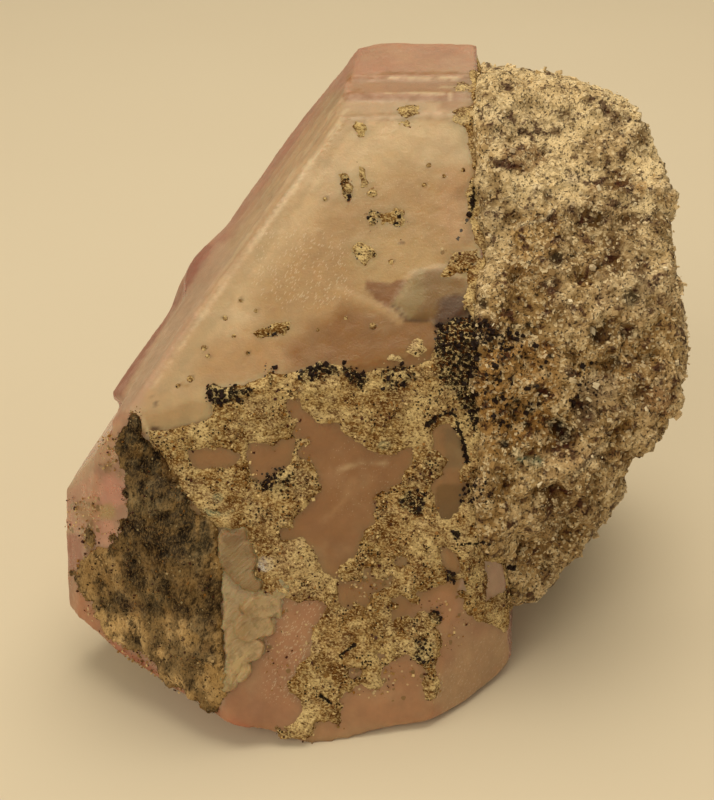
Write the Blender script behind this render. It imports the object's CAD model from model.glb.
"""Looks of a kunzite crystal grown together with albite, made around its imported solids.

Lengths are in millimetres until a mesh is made.
Outlines of marks are in pixels of the photograph, and the photograph's own camera carries
them onto the surface. Sides that it doesn't show get their marks from seeded noise.
"""

import math
from collections import namedtuple

import bpy
import numpy as np
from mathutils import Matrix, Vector
from mathutils.bvhtree import BVHTree


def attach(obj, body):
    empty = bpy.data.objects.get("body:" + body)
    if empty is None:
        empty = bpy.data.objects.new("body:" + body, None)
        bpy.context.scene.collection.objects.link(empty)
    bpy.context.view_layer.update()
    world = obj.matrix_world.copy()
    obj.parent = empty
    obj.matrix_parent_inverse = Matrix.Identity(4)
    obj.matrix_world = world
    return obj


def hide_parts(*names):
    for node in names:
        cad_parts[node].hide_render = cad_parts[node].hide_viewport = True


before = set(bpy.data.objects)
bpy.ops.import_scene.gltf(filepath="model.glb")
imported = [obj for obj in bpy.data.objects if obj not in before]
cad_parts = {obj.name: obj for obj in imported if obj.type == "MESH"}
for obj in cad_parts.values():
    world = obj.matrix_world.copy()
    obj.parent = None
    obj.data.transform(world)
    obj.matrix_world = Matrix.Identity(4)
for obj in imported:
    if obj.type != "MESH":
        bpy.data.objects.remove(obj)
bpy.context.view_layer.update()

MM = 0.001
FAR_OUTSIDE = -1000.0

# The photograph's camera. The front foot of the crystal stands at a known place.
PHOTO_SIZE = (714, 800)
AIM_PIXEL = (357.0, 400.0)
FOCAL_PIXELS = 1492.8
SENSOR_HEIGHT = 24.0
LOOK_DOWN = math.radians(30.0)
FRONT_FOOT = np.array((-6.658, -28.427, 0.0))
EYE = FRONT_FOOT + np.array((4.93, -117.6, 109.71))
FORWARD = np.array((0.0, math.cos(LOOK_DOWN), -math.sin(LOOK_DOWN)))
UPWARD = np.array((0.0, math.sin(LOOK_DOWN), math.cos(LOOK_DOWN)))

# Light. The surfaces' colours are given as the photograph shows them under it.
WARM_LIGHT = np.array((1.0, 0.86, 0.64))
BRIGHTNESS = 0.88
GLOSS = 0.02
DARKEST = np.array((0.006, 0.003, 0.0015))
BODY_GAIN = 1.22

# Mesh sizes.
CRYSTAL_CELL = 0.43
CRUST_CELL = 0.31
ROCK_CELL = 0.375

# Crusts: the lowest height that is kept, how deep the rim reaches, and the least facing
# towards the camera at which a mark holds.
LOWEST_KEPT = -0.2
RIM_DEPTH = 0.25
LEAST_FACING = 0.05
CRUST_SINK = 0.2
CRUST_TURN = (math.radians(-12.0), math.radians(14.0), 0.0)
SILK_TURN = (0.0, math.radians(52.0), math.radians(20.0))

# How many grains and crumbs each piece has.
ROCK_GRAINS = 7700
BLACK_GRAINS = 4500
FRONT_CRUMBS = 5200
DARK_CRUMBS = 3300
CRYSTAL_CRUMBS = 1500

LONG_AXIS = np.array((0.52, 0.63, 0.57))
LONG_AXIS /= np.linalg.norm(LONG_AXIS)


# Noise and shaping of plain arrays.

TABLE_MASK = 4095
SHUFFLED = np.random.default_rng(11).permutation(TABLE_MASK + 1)
NUMBERS = np.random.default_rng(12).random((TABLE_MASK + 1, 7))


def smooth_noise(points, size, seed):
    """Soft noise from -1 to 1 with bumps about as wide as size."""
    scaled = points / size
    low = np.floor(scaled).astype(np.int64)
    part = scaled - low
    fade = part * part * (3.0 - 2.0 * part)
    weights = np.stack((1.0 - fade, fade))
    total = np.zeros(len(points))
    for i in (0, 1):
        row = SHUFFLED[(low[:, 0] + i + seed * 131) & TABLE_MASK]
        for j in (0, 1):
            column = SHUFFLED[(row + low[:, 1] + j) & TABLE_MASK]
            share = weights[i, :, 0] * weights[j, :, 1]
            for k in (0, 1):
                number = NUMBERS[(column + low[:, 2] + k) & TABLE_MASK, 0]
                total += share * weights[k, :, 2] * number
    return total * 2.0 - 1.0


def cloud(points, size, seed, octaves=3, fall=0.5):
    """Noise of several sizes together, about -1 to 1."""
    total = np.zeros(len(points))
    weight, weights = 1.0, 0.0
    for octave in range(octaves):
        total += weight * smooth_noise(points, size / 2 ** octave, seed + 17 * octave)
        weights += weight
        weight *= fall
    return total / weights * 1.6


def cells(points, size, seed):
    """Nearest and second distance to scattered centres, a number and a slope for each cell."""
    scaled = points / size
    low = np.floor(scaled).astype(np.int64)
    nearest = np.full(len(points), 9.0)
    second = np.full(len(points), 9.0)
    number = np.zeros(len(points))
    slope = np.zeros(len(points))
    for i in (-1, 0, 1):
        row = SHUFFLED[(low[:, 0] + i + seed * 131) & TABLE_MASK]
        for j in (-1, 0, 1):
            column = SHUFFLED[(row + low[:, 1] + j) & TABLE_MASK]
            for k in (-1, 0, 1):
                random = NUMBERS[(column + low[:, 2] + k) & TABLE_MASK]
                away = scaled - (low + (i, j, k) + random[:, :3])
                distance = np.sqrt(np.einsum("ij,ij->i", away, away))
                closer = distance < nearest
                second = np.where(closer, nearest, np.minimum(second, distance))
                nearest = np.where(closer, distance, nearest)
                number = np.where(closer, random[:, 3], number)
                tilt = np.einsum("ij,ij->i", away, random[:, 4:] * 2.0 - 1.0)
                slope = np.where(closer, tilt, slope)
    return nearest, second, number, slope


def ramp(values, low, high):
    """Smooth step from 0 at low to 1 at high."""
    part = np.clip((values - low) / (high - low), 0.0, 1.0)
    return part * part * (3.0 - 2.0 * part)


def blend(first, second, weight):
    return first + (second - first) * weight[:, None]


def direction(azimuth, lean):
    """Outward direction of a face: azimuth 0 looks to the front, 90 to the right."""
    azimuth, lean = math.radians(azimuth), math.radians(lean)
    return np.array((math.sin(azimuth) * math.cos(lean),
                     -math.cos(azimuth) * math.cos(lean), math.sin(lean)))


# Colours as the photograph shows them, turned into the surface's own colour.

COLOURS = {
    "cream": (188, 156, 109), "pale": (196, 168, 122), "clear_brown": (144, 102, 60),
    "pink": (172, 130, 97), "deep_pink": (152, 101, 74), "unseen_pink": (200, 142, 116),
    "low_pink": (151, 105, 68), "tan": (154, 115, 64), "yellow_tan": (166, 132, 78),
    "ochre": (129, 92, 49), "brown": (112, 80, 42), "dark_brown": (79, 51, 22),
    "black_brown": (40, 25, 12), "black": (26, 15, 10), "rock_cream": (208, 176, 124),
    "rock_tan": (186, 150, 96), "rock_brown": (136, 102, 58), "rock_dark": (79, 49, 15),
    "pink_tan": (152, 114, 72), "teal": (98, 122, 96)}


def linear(colour):
    part = np.asarray(colour, dtype=float) / 255.0
    return np.where(part <= 0.04045, part / 12.92, ((part + 0.055) / 1.055) ** 2.4)


def own_colour(colour):
    """The surface's own colour, for a name or for 0-255 red, green and blue as photographed."""
    seen = linear(COLOURS.get(colour, colour))
    return np.clip((seen / WARM_LIGHT - GLOSS) / BRIGHTNESS, DARKEST, 0.92)


def plain(colour, count):
    return np.tile(own_colour(colour), (count, 1))


def stain(tint, colour, weight):
    """The tint drawn towards a photographed colour."""
    return blend(tint, own_colour(colour), weight)


def stains(tint, *rows):
    """The tint drawn towards colours, each up to its strength as its values pass two limits."""
    for colour, strength, values, low, high in rows:
        tint = stain(tint, colour, strength * ramp(values, low, high))
    return tint


# Shapes of marks. Each gives the depth of pixels inside it, negative outside.

def patch(*outline):
    """An area inside a closed outline."""
    corners = np.array(outline, dtype=float)

    def depth(pixels):
        result = np.full(len(pixels), FAR_OUTSIDE)
        near = np.all((pixels > corners.min(0) - 40) & (pixels < corners.max(0) + 40), axis=1)
        spots = pixels[near]
        inside = np.zeros(len(spots), dtype=bool)
        distance = np.full(len(spots), 1e9)
        for start, end in zip(corners, np.roll(corners, -1, axis=0)):
            run = end - start
            away = spots - start
            along = np.clip(away @ run / (run @ run + 1e-9), 0.0, 1.0)
            distance = np.minimum(distance, np.linalg.norm(away - along[:, None] * run, axis=1))
            if start[1] != end[1]:
                crosses = (start[1] > spots[:, 1]) != (end[1] > spots[:, 1])
                meet = start[0] + (spots[:, 1] - start[1]) * run[0] / run[1]
                inside ^= crosses & (spots[:, 0] < meet)
        result[near] = np.where(inside, distance, -distance)
        return result

    return depth


def oval(left, top, right, bottom):
    """An upright ellipse in its box."""
    centre = np.array(((left + right) / 2, (top + bottom) / 2))
    radii = np.array(((right - left) / 2, (bottom - top) / 2))

    def depth(pixels):
        reach = np.linalg.norm((pixels - centre) / radii, axis=1)
        return (1.0 - reach) * radii.min()

    return depth


def spot(x, y, radius):
    return oval(x - radius, y - radius, x + radius, y + radius)


def line(width, *path):
    """A stroke of the given width."""
    places = np.array(path, dtype=float)

    def depth(pixels):
        distance = np.full(len(pixels), 1e9)
        for start, end in zip(places[:-1], places[1:]):
            run = end - start
            away = pixels - start
            along = np.clip(away @ run / (run @ run + 1e-9), 0.0, 1.0)
            distance = np.minimum(distance, np.linalg.norm(away - along[:, None] * run, axis=1))
        return width / 2 - distance

    return depth


Mark = namedtuple("Mark", "depth colour soft strength lift", defaults=(4.0, 1.0, 0.0))


def rows(text):
    """Shapes and their values, from rows such as "oval 350,225 440,300 172,138,88 30 .6;".

    Pairs are places, and the other words are values: numbers, colours or names of colours.
    The number after "line" is the stroke's width.
    """
    result = []
    for row in text.split(";")[:-1]:
        kind, *words = row.split()
        places, values = [], []
        for word in words:
            parts = tuple(map(float, word.split(","))) if word[-1].isdigit() else (word,)
            if len(parts) == 2:
                places.append(parts)
            else:
                values.append(parts[0] if len(parts) == 1 else parts)
        if kind == "oval":
            shape = oval(*places[0], *places[1])
        elif kind == "patch":
            shape = patch(*places)
        else:
            shape = line(float(kind[4:]), *places)
        result.append((shape, *values))
    return result


def shapes(text):
    return [shape for shape, *_ in rows(text)]


def marks(text):
    """Marks from rows of shape, colour, softness, strength and lift."""
    return [Mark(*row) for row in rows(text)]


# A surface in work.

class Surface:
    """Points, four-sided faces and normals, with each point's place in the photograph."""

    def __init__(self, points, quads, normals=None, ground=None):
        self.points = points
        self.quads = quads
        self.normals = point_normals(points, quads) if normals is None else normals
        self.ground = self.normals if ground is None else ground
        self.look()

    def look(self):
        ray = self.points - EYE
        depth = ray @ FORWARD
        self.pixels = np.stack((AIM_PIXEL[0] + FOCAL_PIXELS * ray[:, 0] / depth,
                                AIM_PIXEL[1] - FOCAL_PIXELS * (ray @ UPWARD) / depth), axis=1)
        self.pixel_size = depth / FOCAL_PIXELS
        toward = -ray / np.linalg.norm(ray, axis=1)[:, None]
        self.facing = np.sum(toward * self.ground, axis=1)
        self.shown = ramp(self.facing, 0.02, 0.16)
        self.uneven = None

    def move(self, height):
        self.points = self.points + self.normals * height[:, None]
        self.normals = point_normals(self.points, self.quads)


def point_normals(points, quads):
    across = points[quads[:, 2]] - points[quads[:, 0]]
    other = points[quads[:, 3]] - points[quads[:, 1]]
    face_normals = np.cross(across, other)
    total = np.zeros_like(points)
    for axis in range(3):
        for corner in range(4):
            total[:, axis] += np.bincount(quads[:, corner], face_normals[:, axis], len(points))
    return total / (np.linalg.norm(total, axis=1)[:, None] + 1e-12)


def relax(points, quads, rounds, share=0.5):
    """Moves each point's values towards the middle of its neighbours', such as to wear edges."""
    starts = quads.ravel()
    ends = np.roll(quads, -1, axis=1).ravel()
    count = np.bincount(starts, minlength=len(points)) + np.bincount(ends, minlength=len(points))
    for _ in range(rounds):
        middle = np.zeros_like(points)
        for axis in range(3):
            middle[:, axis] = (np.bincount(starts, points[ends, axis], len(points))
                               + np.bincount(ends, points[starts, axis], len(points)))
        points = points + share * (middle / count[:, None] - points)
    return points


def split_quads(points, normals, ground, quads):
    """Cuts each quad in four."""
    count = len(points)
    following = np.roll(quads, -1, axis=1)
    low, high = np.minimum(quads, following), np.maximum(quads, following)
    keys, place = np.unique((low.astype(np.int64) * count + high).ravel(), return_inverse=True)
    ends = np.stack((keys // count, keys % count), axis=1)
    middles = place.reshape(-1, 4) + count
    centres = (np.arange(len(quads)) + count + len(ends))[:, None]

    def widen(values, unit):
        parts = np.concatenate((values, values[ends].mean(1), values[quads].mean(1)))
        return parts / np.linalg.norm(parts, axis=1)[:, None] if unit else parts

    pieces = [np.concatenate((quads[:, [i]], middles[:, [i]], centres, middles[:, [i - 1]]), axis=1)
              for i in range(4)]
    return (widen(points, False), widen(normals, True), widen(ground, True),
            np.concatenate(pieces))


def solid_tree(node):
    """The CAD solid as a search tree, in millimetres."""
    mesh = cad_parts[node].data
    points = [vertex.co * 1000.0 for vertex in mesh.vertices]
    return BVHTree.FromPolygons(points, [tuple(face.vertices) for face in mesh.polygons])


def nearest_on(tree, points):
    """Nearest places on a solid, their face directions and distances."""
    found = []
    for point in points.tolist():
        place, normal, _, distance = tree.find_nearest(point)
        found.extend((*place, *normal, distance))
    found = np.array(found).reshape(-1, 7)
    return found[:, :3], found[:, 3:6], found[:, 6]


def near_solid(points, tree):
    """Depth of each point inside a solid, negative outside."""
    places, directions, distances = nearest_on(tree, points)
    inside = np.sum((points - places) * directions, axis=1) < 0
    return np.where(inside, distances, -distances)


def surface_of(node, cell, rounds):
    """An even mesh on the CAD solid's faces, with its edges a little worn."""
    copy = bpy.data.objects.new("even_copy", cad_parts[node].data.copy())
    bpy.context.scene.collection.objects.link(copy)
    remesh = copy.modifiers.new("even", "REMESH")
    remesh.mode = "VOXEL"
    remesh.voxel_size = cell * MM
    bpy.context.view_layer.update()
    shaped = copy.evaluated_get(bpy.context.evaluated_depsgraph_get()).data
    points = np.zeros(len(shaped.vertices) * 3)
    shaped.vertices.foreach_get("co", points)
    points = points.reshape(-1, 3) / MM
    corners = np.zeros(len(shaped.loops), dtype=np.int64)
    shaped.loops.foreach_get("vertex_index", corners)
    quads = corners.reshape(-1, 4)
    bpy.data.objects.remove(copy)
    points, ground, _ = nearest_on(solid_tree(node), points)
    points = relax(points, quads, rounds)
    return Surface(points, quads, ground=ground)


# Meshes.

def store(mesh, name, values):
    """Keeps a number or colour for each point."""
    if values.ndim == 2:
        layer = mesh.attributes.new(name, "FLOAT_COLOR", "POINT")
        full = np.concatenate((values, np.ones((len(values), 1))), axis=1)
        layer.data.foreach_set("color", full.astype(np.float32).ravel())
    else:
        layer = mesh.attributes.new(name, "FLOAT", "POINT")
        layer.data.foreach_set("value", values.astype(np.float32))


def add_piece(name, points, faces, material, values, smooth=True, node=None):
    """Makes a piece of the part from arrays and ties it to the frame."""
    mesh = bpy.data.meshes.new(name)
    mesh.vertices.add(len(points))
    mesh.vertices.foreach_set("co", (points * MM).astype(np.float32).ravel())
    corners = faces.shape[1]
    mesh.loops.add(faces.size)
    mesh.loops.foreach_set("vertex_index", faces.astype(np.int32).ravel())
    mesh.polygons.add(len(faces))
    mesh.polygons.foreach_set("loop_start", np.arange(0, faces.size, corners, dtype=np.int32))
    mesh.update(calc_edges=True)
    mesh.validate()
    mesh.polygons.foreach_set("use_smooth", np.full(len(mesh.polygons), smooth))
    for key, array in values.items():
        store(mesh, key, array)
    mesh.materials.append(material)
    piece = bpy.data.objects.new(name, mesh)
    bpy.context.scene.collection.objects.link(piece)
    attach(piece, "root")
    if node:
        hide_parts(node)
    return piece


def closed_layer(host, rise, sink, splits=1, margin=0.4):
    """A closed crust on the host's faces where rise is positive, its rim sunk in the host."""
    coarse = rise(host)
    used = host.quads[(coarse[host.quads] > -margin).any(axis=1)]
    kept, place = np.unique(used, return_inverse=True)
    quads = place.reshape(-1, 4)
    points, normals, ground = host.points[kept], host.normals[kept], host.ground[kept]
    for _ in range(splits):
        points, normals, ground, quads = split_quads(points, normals, ground, quads)
    top = Surface(points, quads, normals, ground)
    height = rise(top)
    quads = quads[(height[quads] > LOWEST_KEPT).any(axis=1)]
    kept, place = np.unique(quads, return_inverse=True)
    quads = place.reshape(-1, 4)
    top = Surface(points[kept], quads, normals[kept], ground[kept])
    height = height[kept]
    count = len(kept)
    starts, ends = quads.ravel(), np.roll(quads, -1, axis=1).ravel()
    forward = starts.astype(np.int64) * count + ends
    backward = ends.astype(np.int64) * count + starts
    rim = ~np.isin(forward, backward)
    walls = np.stack((ends[rim], starts[rim], starts[rim] + count, ends[rim] + count), axis=1)
    faces = np.concatenate((quads, quads[:, ::-1] + count, walls))
    outer = top.points + top.normals * np.maximum(height, -RIM_DEPTH)[:, None]
    inner = top.points - top.normals * (sink + RIM_DEPTH)
    return top, height, np.concatenate((outer, inner)), faces


def twice(values):
    return np.concatenate((values, values))


def above_floor(points):
    points[:, 2] = np.maximum(points[:, 2], 0.0)
    return points


GRAIN_CORNERS = np.array([(-1, -1, -1), (1, -1, -1), (1, 1, -1), (-1, 1, -1),
                          (-1, -1, 1), (1, -1, 1), (1, 1, 1), (-1, 1, 1)]) * 0.62
GRAIN_FACES = np.array([(0, 3, 2, 1), (4, 5, 6, 7), (0, 1, 5, 4), (1, 2, 6, 5), (2, 3, 7, 6),
                        (3, 0, 4, 7)])


def grains(host, chance, count, sizes, flat, seed):
    """Small broken crystals set into the host where chance is high."""
    random = np.random.default_rng(seed)
    share = chance / chance.sum()
    picked = random.choice(len(host.points), size=count, p=share)
    radius = sizes[0] + (sizes[1] - sizes[0]) * random.random(count) ** 2.5
    shift = (random.random((count, 3)) - 0.5) * 0.35
    centre = host.points[picked] + shift + host.normals[picked] * (radius * 0.15)[:, None]
    turn, _ = np.linalg.qr(random.normal(size=(count, 3, 3)))
    turn *= np.sign(np.linalg.det(turn))[:, None, None]
    stretch = 1.0 + flat * (random.random((count, 1, 3)) - 0.6)
    jitter = 1.0 + 0.5 * (random.random((count, 8, 1)) - 0.6)
    corners = GRAIN_CORNERS[None] * stretch * jitter * radius[:, None, None]
    corners = np.einsum("nij,nkj->nki", turn, corners) + centre[:, None]
    faces = GRAIN_FACES[None] + (np.arange(count) * 8)[:, None, None]
    return corners.reshape(-1, 3), faces.reshape(-1, 4), picked, random


# Places of the marks, from the photograph.

FRONT_CRUST_OUTLINE, = shapes("""
patch 148,428 160,430 172,428 185,424 205,420 213,414 212,404 222,400 240,398 262,390 275,386
  300,382 330,384 345,380 380,372 415,366 432,360 442,348 486,340 486,600 515,585 518,612 505,632
  490,640 445,700 300,740 280,737 262,700 255,640 262,604 245,545 235,530 215,527 208,520 200,515
  190,500 180,490 170,470 160,455 150,445;""")

FRONT_WINDOWS = shapes("""
patch 188,451 200,450 215,449 230,449 240,455 238,462 228,468 220,466 210,468 200,470 192,466
  188,458;
patch 248,443 262,444 272,448 282,442 293,441 293,448 290,458 285,470 280,470 275,478 268,480
  262,487 256,484 250,480 250,462 247,452;
patch 287,399 298,400 301,409 308,415 316,421 338,424 342,431 350,436 352,441 362,446 370,452
  380,455 392,456 400,452 412,447 413,465 405,472 402,482 392,487 388,492 378,492 374,500 375,510
  370,515 372,522 364,530 362,540 357,552 355,558 345,562 341,566 340,574 342,580 350,582 360,582
  364,578 364,570 370,568 372,574 376,580 384,580 392,576 388,584 380,590 372,594 370,602 366,608
  362,604 358,599 352,601 350,610 342,607 338,602 341,592 338,582 330,577 322,570 320,562 316,552
  308,541 300,536 290,540 281,540 280,530 294,529 296,520 300,512 307,508 312,500 320,492 320,485
  316,475 314,463 305,460 299,452 303,448 311,446 311,440 305,437 298,436 292,433 296,426 298,420
  290,415 287,408;
patch 262,602 280,596 291,599 300,602 310,599 320,600 327,606 322,614 318,622 312,630 311,655
  303,660 297,668 297,676 288,681 287,692 300,701 302,710 299,717 290,726 285,728 292,735 262,722
  235,712 225,690 235,660 250,640;
patch 348,672 350,668 360,668 363,672 360,678 352,680 347,678;
patch 440,548 446,546 452,552 458,562 460,572 452,574 444,570 440,560;
patch 378,654 386,652 388,658 380,660;
patch 432,432 440,425 450,422 455,430 462,445 464,460 458,470 458,480 466,485 468,495 462,502
  458,512 450,520 440,520 436,510 434,495 433,485 440,480 446,470 448,458 440,452 433,448;
patch 396,556 408,557 408,565 400,568 394,562;
patch 345,690 350,690 355,684 362,682 370,688 380,690 386,684 382,676 384,668 390,664 398,658
  405,655 412,660 420,668 424,675 422,690 428,698 436,698 440,688 438,672 441,655 442,642 438,632
  430,628 440,622 430,616 424,612 418,612 412,620 408,614 400,616 392,622 390,612 392,604 390,598
  396,598 400,594 405,596 408,602 418,604 418,598 412,592 430,590 438,586 448,584 455,580 463,578
  466,592 463,604 466,614 478,622 492,624 502,632 530,640 520,700 450,740 330,745 312,735 318,725
  330,723 340,728 342,722 340,712 345,706 340,700;""")

CRUST_ISLANDS = shapes("""
patch 455,590 463,589 470,594 468,600 458,598;
oval 430,612 440,622;
oval 391,603 399,609;
oval 422,668 438,698;""")

DARK_CRUST_OUTLINE, = shapes("""
patch 133,418 141,430 148,440 155,449 165,455 172,465 182,488 190,500 196,513 205,518 214,522
  221,535 222,560 222,575 222,582 224,592 224,630 228,640 224,660 224,705 210,712 200,700 190,698
  180,690 170,684 160,672 150,662 140,655 130,650 120,643 108,636 105,630 100,618 90,606 80,600
  78,590 72,575 80,565 85,552 84,545 88,530 93,540 90,552 100,550 110,545 118,530 118,520 127,512
  127,487 124,478 118,470 116,458 114,448 118,440 123,430 130,422;""")
DARK_TIP = oval(128, 413, 142, 442)

# Crust beyond the lower front: along the ridge under the big face, and its thin islands.
RIDGE_CRUST = shapes("""
patch 206,388 212,382 222,388 235,384 250,382 262,378 268,368 275,372 285,374 300,370 320,362
  340,362 352,368 360,374 375,370 395,366 415,366 430,360 436,345 440,330 455,318 480,318 480,345
  440,375 400,385 360,390 330,392 300,392 260,398 222,404 212,402;
patch 438,277 454,253 464,249 478,248 480,262 465,274 450,278;
patch 463,604 466,614 478,622 492,624 502,632 512,624 517,612 517,590 500,585 497,600 480,602;""")
FACE_ISLANDS = shapes("""
patch 339,175 347,175 351,181 355,187 353,194 347,199 342,198 340,187;
patch 357,162 365,170 367,188 362,190 360,183 359,172;
patch 380,212 390,209 399,205 406,211 407,220 404,231 397,229 390,225 380,227;
patch 350,248 357,241 364,243 374,247 377,257 369,264 365,270 360,260 353,253;
patch 252,333 262,326 275,322 290,323 294,330 285,336 270,334 258,338;
oval 369,212 377,224;
oval 365,190 375,199;
oval 398,105 421,117;
oval 353,122 368,135;
oval 396,121 415,129;
oval 384,353 405,365;
oval 405,341 425,357;
oval 452,82 472,93;
oval 452,105 470,124;""")

# Black manganese specks: where they cluster, and how dense they are.
BLACK_CLUSTERS = rows("""
patch 206,388 212,382 222,388 235,384 252,386 254,394 240,398 222,404 212,402 1;
oval 260,358 287,386 .35;
oval 225,369 238,379 .35;
patch 297,372 305,366 320,364 338,362 340,376 320,378 305,382 298,380 .95;
patch 340,360 350,366 362,372 366,380 362,388 352,386 345,376 340,370 1;
patch 378,376 385,368 400,364 415,368 422,378 415,388 400,392 385,390 .6;
patch 436,340 440,328 455,318 480,318 500,322 500,340 482,350 482,362 478,380 470,385 478,405
  482,425 474,430 465,420 458,400 450,390 438,385 436,365 .88;
patch 486,318 520,330 524,352 505,372 500,400 486,410 .6;
patch 508,348 548,340 556,400 520,430 505,400 .27;
oval 400,490 426,514 .8;
oval 372,494 396,521 .3;
oval 413,458 441,482 .35;
oval 262,468 302,497 .6;
oval 258,506 276,522 .5;
oval 410,638 434,667 .7;
oval 444,570 457,584 .7;
oval 430,611 441,621 .7;
oval 452,476 497,508 .45;
oval 560,360 600,420 .3;
oval 470,385 520,440 .35;
oval 340,175 354,198 .4;
oval 381,208 406,230 .5;
oval 253,324 293,337 .3;
oval 368,210 380,226 .5;
oval 352,244 376,266 .3;""")
BLACK_STROKES = rows("""
line3.5 428,424 436,416 450,412 456,416 1.6;
line2.5 456,422 463,440 467,462 1.6;
line3 340,654 354,644 1.6;
line3 320,695 326,699 330,702 1.6;
line2.5 460,543 490,543 1.6;
line3 505,566 519,568 1.6;
oval 452,531 460,539 1.6;
oval 463,370 473,380 1.6;
line2.5 473,188 473,207 465,224 459,238 462,249 1.6;""")


def deepest(surface, group):
    """The greatest depth in pixels inside any shape of a group."""
    return np.max([shape(surface.pixels) for shape in group], axis=0)


def crust_depth(surface):
    """Depth in pixels inside the crust of the lower front."""
    depth = np.minimum(FRONT_CRUST_OUTLINE(surface.pixels), -deepest(surface, FRONT_WINDOWS))
    return np.maximum(depth, deepest(surface, CRUST_ISLANDS))


def ragged(surface):
    """Uneven shift of an outline, in pixels. It is worked out once for each surface."""
    if surface.uneven is None:
        surface.uneven = (2.6 * cloud(surface.points, 1.7, 71)
                          + 1.4 * cloud(surface.points, 0.55, 76, 2))
    return surface.uneven


def strongest(surface, shares, low, high, wander):
    """The strongest share that any shape lays on each point, with its rim from low to high."""
    total = np.zeros(len(surface.points))
    for shape, share in shares:
        depth = shape(surface.pixels) + wander * ragged(surface)
        total = np.maximum(total, share * ramp(depth, low, high))
    return total


def black_density(surface):
    """How much of the surface the black specks take."""
    total = np.maximum(strongest(surface, BLACK_CLUSTERS, -4.0, 4.0, 1.6),
                       strongest(surface, BLACK_STROKES, -0.6, 0.5, 0.25))
    return total * surface.shown


def paint(surface, base, marks):
    """The base colours with each mark laid over them."""
    tint = np.array(base)
    wander = ragged(surface)
    for mark in marks:
        depth = mark.depth(surface.pixels) + wander * min(1.0, mark.soft / 4.0)
        weight = mark.strength * ramp(depth, -mark.soft / 2, mark.soft / 2) * surface.shown
        tint = stain(tint, mark.colour, weight)
    return tint


def lifted(surface, marks):
    """Height that the marks add, in millimetres."""
    height = np.zeros(len(surface.points))
    for mark in marks:
        if mark.lift:
            depth = mark.depth(surface.pixels)
            height += mark.lift * ramp(depth, -1.0, max(2.0, mark.soft)) * surface.shown
    return height


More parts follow.
